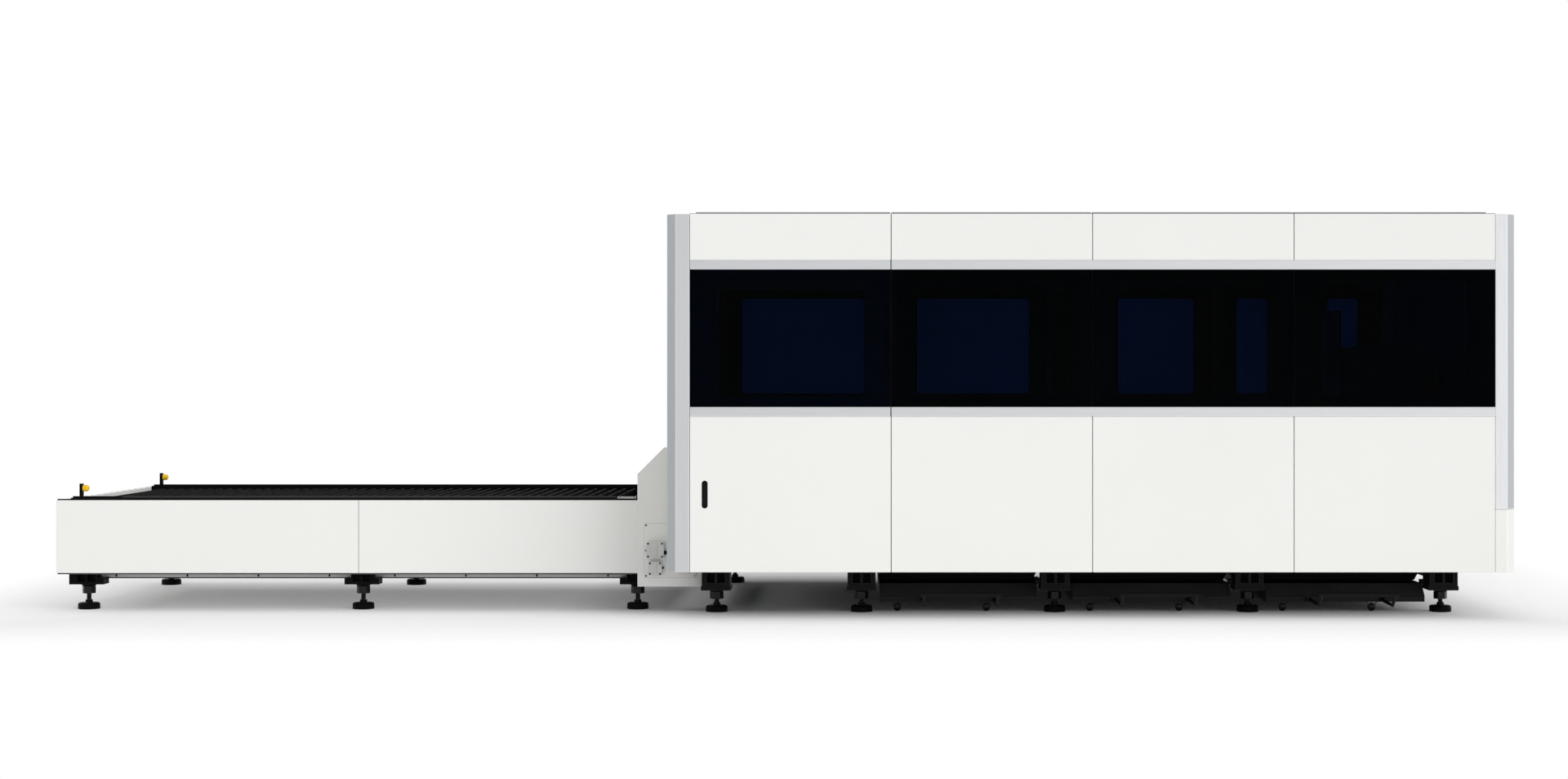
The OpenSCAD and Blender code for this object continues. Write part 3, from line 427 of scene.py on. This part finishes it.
class Shape:
    """Collects bevelled boxes, turned pieces and flat outlines into one mesh."""

    def __init__(self):
        self.bm = bmesh.new()

    def box(self, lo, hi, edge=0.0, slot=0):
        """A box between two corners."""
        lo, hi = Vector(lo), Vector(hi)
        place = Matrix.Translation((lo + hi) / 2) @ Matrix.Diagonal((*(hi - lo), 1))
        made = bmesh.ops.create_cube(self.bm, size=1, matrix=place)["verts"]
        self.close(made, edge, slot, 20)

    def mirrored_box(self, x, y, z, edge=0.0, slot=0):
        """A box on each side of the middle: ranges of X, of the distance from Y = 0, and of Z."""
        for s in SIDES:
            near, far = sorted(s * v for v in y)
            self.box((x[0], near, z[0]), (x[1], far, z[1]), edge, slot)

    def close(self, verts, edge, slot, sharp):
        """Gives the new faces their finish, and bevels edges that turn by more than sharp degrees."""
        for f in {f for v in verts for f in v.link_faces}:
            f.material_index = slot
        if edge:
            edges = {e for v in verts for e in v.link_edges if e.calc_face_angle(0) > math.radians(sharp)}
            bmesh.ops.bevel(self.bm, geom=list(edges), offset=edge, offset_type="OFFSET", segments=2,
                            profile=0.5, affect="EDGES", clamp_overlap=True)

    def turn(self, profile, at, axis=(0, 0, 1), segments=24, slot=0):
        """Turns (radius, height) points about an axis through at; ends with no radius close to a point."""
        spin = Vector(axis).to_track_quat("Z", "Y").to_matrix().to_4x4()
        place = Matrix.Translation(at) @ spin
        rings = []
        for r, h in profile:
            if r < 1e-9:
                rings.append([self.bm.verts.new(place @ Vector((0, 0, h)))])
                continue
            ring = []
            for k in range(segments):
                t = 2 * math.pi * k / segments
                ring.append(self.bm.verts.new(place @ Vector((r * math.cos(t), r * math.sin(t), h))))
            rings.append(ring)
        for a, b in zip(rings, rings[1:]):
            for k in range(segments):
                n = (k + 1) % segments
                if len(a) == 1:
                    f = self.bm.faces.new((a[0], b[n], b[k]))
                elif len(b) == 1:
                    f = self.bm.faces.new((a[k], a[n], b[0]))
                else:
                    f = self.bm.faces.new((a[k], a[n], b[n], b[k]))
                f.material_index = slot

    def slab(self, outline, y0, y1, edge=0.0, slot=0):
        """A flat outline in X and Z, from y0 in front to y1 behind."""
        front = [self.bm.verts.new((x, y0, z)) for x, z in outline]
        back = [self.bm.verts.new((x, y1, z)) for x, z in outline]
        faces = [self.bm.faces.new(front), self.bm.faces.new(list(reversed(back)))]
        for k in range(len(outline)):
            n = (k + 1) % len(outline)
            faces.append(self.bm.faces.new((front[n], front[k], back[k], back[n])))
        bmesh.ops.recalc_face_normals(self.bm, faces=faces)
        self.close(front + back, edge, slot, 60)

    def repeat(self, other, places):
        """Adds another shape at each of the placing matrices."""
        mesh = bpy.data.meshes.new("repeat")
        other.bm.to_mesh(mesh)
        other.bm.free()
        for m in places:
            copy = mesh.copy()
            copy.transform(m)
            self.bm.from_mesh(copy)
            bpy.data.meshes.remove(copy)
        bpy.data.meshes.remove(mesh)

    def done(self, name, body, slot, *finishes, smooth=True):
        """Makes the shape a piece on a body; a face's slot number picks one of the finishes."""
        bmesh.ops.recalc_face_normals(self.bm, faces=self.bm.faces)
        mesh = bpy.data.meshes.new(name)
        self.bm.to_mesh(mesh)
        self.bm.free()
        for f in finishes:
            mesh.materials.append(look[f])
        o = put(name, mesh, body)
        if smooth:
            weighted(o)
        return o


def rounded(x0, x1, z0, z1, r, steps=5):
    """Outline of a rectangle with round corners."""
    left, right, low, high = x0 + r, x1 - r, z0 + r, z1 - r
    points = []
    for cx, cz, start in ((right, high, 0), (left, high, 90), (left, low, 180), (right, low, 270)):
        for k in range(steps + 1):
            t = math.radians(start + 90 * k / steps)
            points.append((cx + r * math.cos(t), cz + r * math.sin(t)))
    return points


def cap_screw(shape, at, axis, r, slot=0):
    """Button head with a hexagon socket."""
    h = 0.62 * r
    shape.turn([(r, 0), (r, 0.25 * h), (0.86 * r, 0.72 * h), (0.6 * r, h), (0.5 * r, h)], at, axis, 24, slot)
    shape.turn([(0.5 * r, h), (0.48 * r, 0.35 * h), (0, 0.3 * h)], at, axis, 6, slot)
    shape.turn([(0.5 * r, h), (0.62 * r, 0.985 * h)], at, axis, 6, slot)


plate_lo, plate_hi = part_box("access_plate")
boxes_lo, boxes_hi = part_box("junction_boxes")


def plate_fittings():
    """Screws of the access plate, the left ones black and the right ones bright zinc as a painted highlight,
    and the seal round its edge, a painted shadow line.
    """
    inset, screw_r = 0.009, 0.0052
    screws = Shape()
    # the right-hand screws are bright zinc: a painted highlight
    for finish, x in enumerate((plate_lo.x + inset, plate_hi.x - inset)):
        for z in (0.196, 0.337, 0.478):
            cap_screw(screws, (x, plate_lo.y, z), FRONT, screw_r, finish)
    screws.done("access_plate_screws", "machine", "black_plastic", "screw_black", "zinc_and_highlight")
    wide, edge = 0.0024, 0.0004
    front, back = plate_hi.y - 0.0016, plate_hi.y + 0.0003
    x0, x1, z0, z1 = plate_lo.x, plate_hi.x, plate_lo.z, plate_hi.z
    # the seal is a painted shadow line round the plate
    seal = Shape()
    for a, b, low, high in ((x0 - wide, x1 + wide, z0 - wide, z0), (x0 - wide, x1 + wide, z1, z1 + wide),
                            (x0 - wide, x0, z0, z1), (x1, x1 + wide, z0, z1)):
        seal.box((a, front, low), (b, back, high), edge)
    seal.done("access_plate_shadow_seal", "machine", "black_plastic", "plate_shadow_seal")


# Left edge from the node's own, bottom, width, height, depth
BOXES = ((0.0, 0.296, 0.097, 0.092, 0.042), (0.010, 0.200, 0.076, 0.078, 0.034))


def junction_boxes():
    """Cast boxes with a screwed lid, a dark seal under it and a bare raised strip."""
    lid_deep, seal_deep = 0.009, 0.003
    screw_in, screw_r, ring_r, ring_h = 0.010, 0.0048, 0.0054, 0.0006
    back = boxes_hi.y
    o = Shape()
    for left, z0, w, h, deep in BOXES:
        x0 = boxes_lo.x + left
        x1, z1, y0 = x0 + w, z0 + h, back - deep
        lid = y0 + lid_deep
        o.slab(rounded(x0 + 0.001, x1 - 0.001, z0 + 0.001, z1 - 0.001, 0.007), lid + seal_deep, back, 0.0008)
        o.slab(rounded(x0 + 0.002, x1 - 0.002, z0 + 0.002, z1 - 0.002, 0.006), lid, lid + seal_deep, 0, 1)
        o.slab(rounded(x0, x1, z0, z1, 0.008), y0, lid, 0.0016)
        strip = rounded(x0 + 0.32 * w, x0 + 0.6 * w, z0 + 0.006, z1 - 0.006, 0.004)
        o.slab(strip, y0 - 0.002, y0 + 0.001, 0.0008)
        rib = rounded(x0 + 0.64 * w, x0 + 0.66 * w, z0 + 0.010, z1 - 0.010, 0.0008)
        o.slab(rib, y0 - 0.0012, y0 + 0.001, 0.0003)
        for x in (x0 + screw_in, x1 - screw_in):
            for z in (z0 + screw_in, z1 - screw_in):
                o.turn([(ring_r, 0), (ring_r, ring_h), (0, ring_h)], (x, y0, z), FRONT, 24, 2)
                cap_screw(o, (x, y0 - 0.0005, z), FRONT, screw_r, 2)
    piece = o.done("junction_boxes_cast", "machine", "cast_box", "cast_box", "gasket_and_shadow_gap", "black_plastic")
    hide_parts("junction_boxes")


# X from the boxes' left edge, Y from the plate's back, Z, size
GLANDS = ((0.0973, -0.024, 0.327, 1.0), (0.0863, -0.020, 0.242, 0.52))


def glands():
    """Cable glands: hexagon body, ribbed dome nut and sealing insert."""
    o = Shape()
    for dx, dy, z, k in GLANDS:
        r = 0.013 * k
        start = (boxes_lo.x + dx, plate_hi.y + dy, z)
        shoulder = (0.86 * r, 0.0098 * k)
        o.turn([(0, 0), (r, 0), (r, 0.009 * k), shoulder], start, RIGHT, 6)
        nut = [shoulder]
        for rib in range(3):
            a = (0.0105 + 0.0033 * rib) * k
            nut += [(0.72 * r, a), (0.72 * r, a + 0.002 * k), (0.62 * r, a + 0.0024 * k)]
        nut += [(0.56 * r, 0.0218 * k), (0.42 * r, 0.0226 * k), (0.34 * r, 0.0215 * k), (0, 0.0215 * k)]
        o.turn(nut, start, RIGHT, 24)
    piece = o.done("cable_glands_moulded", "machine", "black_plastic", "black_plastic")
    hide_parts("cable_glands")


def tray_clips():
    """Dark spring clips that hold the tray's edge, four under each side sheet."""
    half, proud, hook = 0.0045, 0.003, 0.014
    step = 0.402
    lo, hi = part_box("drip_tray")
    o = Shape()
    for start in (-3.727, -2.151):
        for k in range(4):
            x = start + step * k
            wide = (x - half, x + half)
            o.mirrored_box(wide, (hi.y, hi.y + proud), (lo.z + 0.001, hi.z + 0.0003), 0.0008)
            o.mirrored_box(wide, (hi.y - hook, hi.y + proud), (lo.z - 0.0016, lo.z + 0.0008), 0.0006)
    o.done("tray_clips", "machine", "black_paint", "black_paint")


SHEET_START = 0.006  # the strips along the table's side sheets begin this far from the end sheet


def tray_edging():
    """Hem and dark edging along the lower rim of the drip tray, and a dark seal under the side sheets that is
    painted shade in the gap below them.
    """
    lo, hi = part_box("drip_tray")
    o = Shape()
    o.mirrored_box((lo.x, hi.x), (hi.y, hi.y + 0.0012), (lo.z - 0.0055, lo.z + 0.004), 0.0005, 1)
    o.mirrored_box((lo.x, hi.x), (hi.y - 0.006, hi.y + 0.0016), (lo.z - 0.0105, lo.z - 0.0045), 0.0008)
    o.done("tray_edging", "machine", "black_paint", "black_plastic", "tray_sheet")
    lo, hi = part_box("table_panels")
    # the dark seal is painted shade in the gap under the side sheets
    seal = Shape()
    seal.mirrored_box((lo.x + SHEET_START, hi.x), (hi.y - 0.009, hi.y - 0.003), (lo.z - 0.0135, lo.z - 0.0055),
                      0.001)
    seal.done("table_sheet_shadow_seal", "machine", "black_plastic", "gasket_and_shadow_gap")


def rail_plate():
    """Light plate on the near guard rail, beside the side cover."""
    x0, x1, z0, z1 = -0.887, -0.781, 0.6190, 0.6300
    thick, screw_in, screw_r = 0.0025, 0.013, 0.0034
    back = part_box("guard_rails")[0].y
    o = Shape()
    o.slab(rounded(x0, x1, z0, z1, 0.002), back - thick, back, 0.0006)
    for x in (x0 + screw_in, x1 - screw_in):
        cap_screw(o, (x, back - thick, (z0 + z1) / 2), FRONT, screw_r, 1)
    o.done("guard_rail_plate", "machine", "silver_trim", "zinc_and_highlight", "screw_black")


def rail_strips():
    """Black edge trim on the side sheets, and on the upper step of each guard rail a lighter lip that is a
    painted highlight.
    """
    lip_x, lip_z, lip_thick = (-3.68, -0.896), (0.6234, 0.6312), 0.0012
    trim_high = 0.0076
    rail_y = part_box("guard_rails")[1].y
    lo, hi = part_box("table_panels")
    trim, highlight_lips = Shape(), Shape()
    trim.mirrored_box((lo.x + SHEET_START, hi.x), (hi.y - 0.006, hi.y - 0.002), (hi.z, hi.z + trim_high), 0.001)
    # the lip's grey is a painted highlight
    highlight_lips.mirrored_box(lip_x, (rail_y, rail_y + lip_thick), lip_z, 0.0005)
    trim.done("panel_edge_trim", "machine", "black_paint", "black_paint")
    highlight_lips.done("rail_highlight_lips", "machine", "black_paint", "rail_lip_highlight")


def slats(node):
    """Slats with fine teeth between the CAD's own tips, so that the rows read as bars from the side; the lower
    part of each slat is painted darker as shade between the slats.
    """
    thick, pitch, tooth, deep, shade_depth = 0.005, 0.060, 0.019, 0.009, 0.0145
    tip = (0.36 * tooth, 0.64 * tooth)
    lo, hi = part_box(node)
    count = round((hi.x - lo.x - thick) / pitch) + 1
    half = hi.y
    teeth = int(2 * half / tooth)
    rim = half - teeth * tooth / 2
    root, shade_top = hi.z - deep, hi.z - shade_depth
    outline = [(half, shade_top), (-half, shade_top), (-half, root)]
    for k in range(teeth):
        y = -half + rim + k * tooth
        outline += [(y, root), (y + tip[0], hi.z), (y + tip[1], hi.z)]
    outline += [(half - rim, root), (half, root)]
    slat = Shape()
    slat.slab(outline, -thick / 2, thick / 2)
    # painted shade: the lower part of each slat, down between the slats, is darker
    slat.slab([(half, lo.z), (-half, lo.z), (-half, shade_top), (half, shade_top)], -thick / 2, thick / 2, 0, 1)
    turned = Matrix.Rotation(math.pi / 2, 4, "Z")
    o = Shape()
    o.repeat(slat, [Matrix.Translation((lo.x + thick / 2 + k * pitch, 0, 0)) @ turned for k in range(count)])
    piece = o.done(node + "_toothed", body_of[node], slot_of[node], "slat_steel", "slat_painted_shade", "slat_tip",
                   smooth=False)
    for p in piece.data.polygons:
        if p.normal.z > 0.99 and p.center.z > hi.z - 0.001:
            p.material_index = 2
    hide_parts(node)


def casters(node):
    """Ball casters: ball, ring, neck and two splayed straps; the ring is lighter, a painted highlight across
    each ball.
    """
    ball_r, ring_r, strap, strap_half = 0.021, 0.023, 0.0028, 0.007
    angles = [math.radians(a) for a in range(0, 95, 10)]
    ball = [(ball_r * math.sin(a), ball_r - ball_r * math.cos(a)) for a in angles]
    ball += [(ball_r, 0.0238), (0.017, 0.0242)]
    ring = [(0.019, 0.0236), (0.0222, 0.0238), (ring_r, 0.0248),
            (ring_r, 0.0322), (0.0222, 0.0334), (0.013, 0.0342)]
    neck = [(0.0135, 0.0335), (0.012, 0.036), (0.012, 0.044), (0.010, 0.0455), (0, 0.0455)]
    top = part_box(node)[1].z
    touching = [v.co for v in nodes[node].data.vertices if v.co.z < 0.0005]
    xs = sorted({round(p.x, 3) for p in touching})
    ys = sorted({round(p.y, 3) for p in touching})
    o = Shape()
    for x in (xs[0], xs[-1]):
        for y in (ys[0], ys[-1]):
            o.turn(ball, (x, y, 0), segments=32)
            # the ring's lighter finish is a painted highlight
            o.turn(ring, (x, y, 0), segments=32, slot=1)
            o.turn(neck, (x, y, 0))
            for s in SIDES:
                foot, head, w = (x + s * 0.0125, 0.0345), (x + s * 0.0325, top), s * strap
                o.slab([foot, head, (head[0] + w, head[1]), (foot[0] + w, foot[1])],
                       y - strap_half, y + strap_half, 0.0004)
    piece = o.done(node + "_balls", body_of[node], slot_of[node], "caster_steel", "caster_ring_painted_highlight")
    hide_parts(node)


def cart_folds():
    """Dark line along the fold between the sloped and the upright front of each scrap tub, painted shade there.
    """
    y, z, inset = (-1.0407, -1.0399), (0.0875, 0.0915), 0.002
    for i in CARTS:
        xs = [v.co.x for v in nodes[f"cart_{i}_tub"].data.vertices if v.co.z < 0.06]
        o = Shape()
        o.box((min(xs) + inset, y[0], z[0]), (max(xs) - inset, y[1], z[1]), 0.0003)
        o.done(f"cart_{i}_fold", f"cart_{i}", "black_paint", "cart_edge")


def flange_slots():
    """Dark inserts in the slots along the table's end flange."""
    count, first, step = 13, -0.72, 0.12
    half_x, half_y = 0.003, 0.021
    lo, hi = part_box("table_panels")
    x = lo.x + 0.0135
    o = Shape()
    for k in range(count):
        y = first + step * k
        o.box((x - half_x, y - half_y, hi.z - 0.004), (x + half_x, y + half_y, hi.z + 0.0006), 0.0004)
    o.done("end_flange_inserts", "machine", "black_plastic", "gasket_and_shadow_gap")


def feet_centres():
    """Middles of the levelling feet, read from the pads' own vertices on the floor."""
    apart = 0.15
    found = []
    for p in [v.co for v in nodes["levelling_feet"].data.vertices if v.co.z < 1e-4]:
        for first, group in found:
            if (first.x - p.x) ** 2 + (first.y - p.y) ** 2 < apart ** 2:
                group.append(p)
                break
        else:
            found.append((p, [p]))
    middles = []
    for first, group in found:
        xs = [p.x for p in group]
        ys = [p.y for p in group]
        middles.append(((min(xs) + max(xs)) / 2, (min(ys) + max(ys)) / 2))
    return middles


def stud_threads():
    """Thread on the levelling studs between pad and lock nut; the bed's feet stand wider than the table's."""
    root, crest, pitch, start = 0.0121, 0.0131, 0.003, 0.0535
    bed_y, bed_top, table_top = 0.9, 0.0715, 0.0875
    middles = feet_centres()
    bed_feet = [c for c in middles if abs(c[1]) > bed_y]
    table_feet = [c for c in middles if abs(c[1]) < bed_y]
    o = Shape()
    for centres, top in ((bed_feet, bed_top), (table_feet, table_top)):
        profile = [(root, 0.0528)]
        for k in range(int((top - start) / pitch)):
            z = start + k * pitch
            profile += [(root, z), (crest, z + 0.0011), (crest, z + 0.0016), (root, z + 0.0027)]
        profile.append((root, top))
        for x, y in centres:
            o.turn(profile, (x, y, 0), segments=20)
    o.done("stud_threads", "machine", "black_paint", "screw_black")


def hose_chain():
    """Link chain over the carriage, in the arch's place."""
    inner, outer, start, count = 0.110, 0.150, 1.700, 14
    lo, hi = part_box("hose_arch")
    cx, cz = lo.x + outer, hi.z - outer
    mid = (inner + outer) / 2
    rise, bend, fall = cz - start, math.pi * mid, cz - lo.z
    step = (rise + bend + fall) / count

    def along(t):
        """Place and travel direction in X and Z at distance t from the carriage."""
        if t < rise:
            return cx - mid, start + t, 0.0, 1.0
        t -= rise
        if t < bend:
            a = math.pi - t / mid
            return cx + mid * math.cos(a), cz + mid * math.sin(a), math.sin(a), -math.cos(a)
        t -= bend
        return cx + mid, cz - t, 0.0, -1.0

    half = 0.5 * step
    link = Shape()
    link.mirrored_box((-half + 0.0015, half - 0.0015), (0.038, 0.0445), (-0.0185, 0.0185), 0.0015)
    link.mirrored_box((half - 0.012, half + 0.010), (0.0335, 0.0378), (-0.012, 0.012), 0.001)
    for s in SIDES:
        pin = [(0.007, 0), (0.007, 0.001), (0.0055, 0.0005), (0, 0.0005)]
        link.turn(pin, (half - 0.010, s * 0.0440, 0), (0, s, 0), 16)
        link.box((-0.006, -0.040, s * 0.0165 - 0.003), (0.006, 0.040, s * 0.0165 + 0.003), 0.001)
    places = []
    for k in range(count):
        x, z, ux, uz = along((k + 0.5) * step)
        places.append(Matrix(((ux, 0, -uz, x), (0, 1, 0, 0), (uz, 0, ux, z), (0, 0, 0, 1))))
    o = Shape()
    o.repeat(link, places)
    piece = o.done("hose_chain", "carriage", "black_plastic", "black_plastic")
    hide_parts("hose_arch")


plate_fittings()
junction_boxes()
glands()
tray_clips()
tray_edging()
rail_plate()
rail_strips()
for name in ("upper_pallet_slats", "lower_pallet_slats"):
    slats(name)
for i in CARTS:
    casters(f"cart_{i}_casters")
cart_folds()
flange_slots()
stud_threads()
hose_chain()

# CAD nodes that still show take the finish of their material slot, apart from these.
KEPT = {"window_liners": "liner", **{f"cart_{i}_handle": "handle_paint" for i in CARTS}}
for name, o in nodes.items():
    if o.hide_render:
        continue
    o.data.materials.clear()
    o.data.materials.append(look[KEPT.get(name, slot_of[name])])


# Studio: pale floor, white surroundings, large soft lamps

def seen_rays(tree):
    """1 for what the camera sees directly, in a reflection or through glass, and 0 for light on the object."""
    ray = tree.nodes.new("ShaderNodeLightPath").outputs
    seen = ray["Is Camera Ray"]
    for kind in ("Is Glossy Ray", "Is Transmission Ray"):
        most = tree.nodes.new("ShaderNodeMath")
        most.operation = "MAXIMUM"
        tree.links.new(seen, most.inputs[0])
        tree.links.new(ray[kind], most.inputs[1])
        seen = most.outputs["Value"]
    return seen


def floor():
    """Pale floor that keeps the shadows at the machine, lifted in part by painted light and most under and
    behind the table, and goes to white away from it.
    """
    bm = bmesh.new()
    bmesh.ops.create_circle(bm, cap_ends=True, radius=60, segments=96)
    mesh = bpy.data.meshes.new("floor")
    bm.to_mesh(mesh)
    bm.free()
    o = bpy.data.objects.new("floor", mesh)
    scene.collection.objects.link(o)
    m = Nodes("floor")
    m.set(Roughness=0.9, Specular_IOR_Level=0.1)
    tone = m.mix(m.span(m.noise(1.5, 3), (0, 1)), linear((246, 246, 246)), linear((249, 249, 249)))
    m.link(tone, m.shader.inputs["Base Color"])
    x, y = m.axis("X"), m.axis("Y")

    def most(a, b):
        return m.math("MAXIMUM", a, b)

    def less(a, b):
        return m.math("SUBTRACT", a, b)

    left, right, front, back, far_back = -3.8, 4.0, -1.5, 1.5, 2.6
    beside = most(less(x, right), less(left, x))
    before = less(front, y)
    behind = most(m.math("MINIMUM", less(y, back), -0.19), less(y, far_back))
    away = most(most(beside, before), behind)
    # painted light: the floor under and behind the table is lifted lighter
    painted_light_under_table = m.math("MULTIPLY", m.span(y, (0.21, 0.53), (0.35, 1.05)), m.span(x, (1, 0.03), (-1.2, -0.4)))
    # white mixed into what is seen: near the machine it is painted light that lifts the shadows, away from it a
    # plain white floor
    white_and_painted_light = most(m.span(away, (0, 1), (-0.6, 1.15)), painted_light_under_table)
    white = m.add("ShaderNodeEmission")
    blend = m.add("ShaderNodeMixShader")
    m.link(m.math("MULTIPLY", white_and_painted_light, seen_rays(m.tree)), blend.inputs[0])
    m.link(m.shader.outputs["BSDF"], blend.inputs[1])
    m.link(white.outputs["Emission"], blend.inputs[2])
    m.link(blend.outputs["Shader"], m.tree.nodes["Material Output"].inputs["Surface"])
    mesh.materials.append(m.material)


def surroundings(strength):
    """White world: it lights the object with strength, and is seen as plain white."""
    world = bpy.data.worlds.new("studio")
    world.use_nodes = True
    scene.world = world
    t = world.node_tree
    back = t.nodes["Background"]
    back.inputs["Color"].default_value = (1, 1, 1, 1)
    r = t.nodes.new("ShaderNodeMapRange")
    t.links.new(seen_rays(t), r.inputs["Value"])
    r.inputs["To Min"].default_value = strength
    r.inputs["To Max"].default_value = 1.0
    t.links.new(r.outputs["Result"], back.inputs["Strength"])


def lamp(name, place, target, size, power):
    """A soft rectangle of light that neither the camera nor a reflection shows."""
    d = bpy.data.lights.new(name, "AREA")
    d.shape = "RECTANGLE"
    d.size, d.size_y = size
    d.energy = power
    o = bpy.data.objects.new(name, d)
    scene.collection.objects.link(o)
    o.location = place
    o.rotation_euler = (Vector(target) - Vector(place)).to_track_quat("-Z", "Y").to_euler()
    o.visible_camera = False
    o.visible_glossy = False


def sun(name, direction, strength, angle):
    """Broad light from far away; angle is its width in degrees."""
    d = bpy.data.lights.new(name, "SUN")
    d.energy = strength
    d.angle = math.radians(angle)
    o = bpy.data.objects.new(name, d)
    scene.collection.objects.link(o)
    o.rotation_euler = Vector(direction).to_track_quat("-Z", "Y").to_euler()
    o.visible_glossy = False


floor()
surroundings(0.4)
sun("side", (-0.74, 0.55, -0.4), 1.9, 50)
lamp("fill", (-6, -12, 4), (-1, -1, 0.8), (6, 4), 45)
lamp("low_front", (3, -10, 0.9), (1.5, -1, 0.4), (12, 1.4), 70)
lamp("overhead", (0, 0, 9), (0, 0, 0), (12, 7), 150)
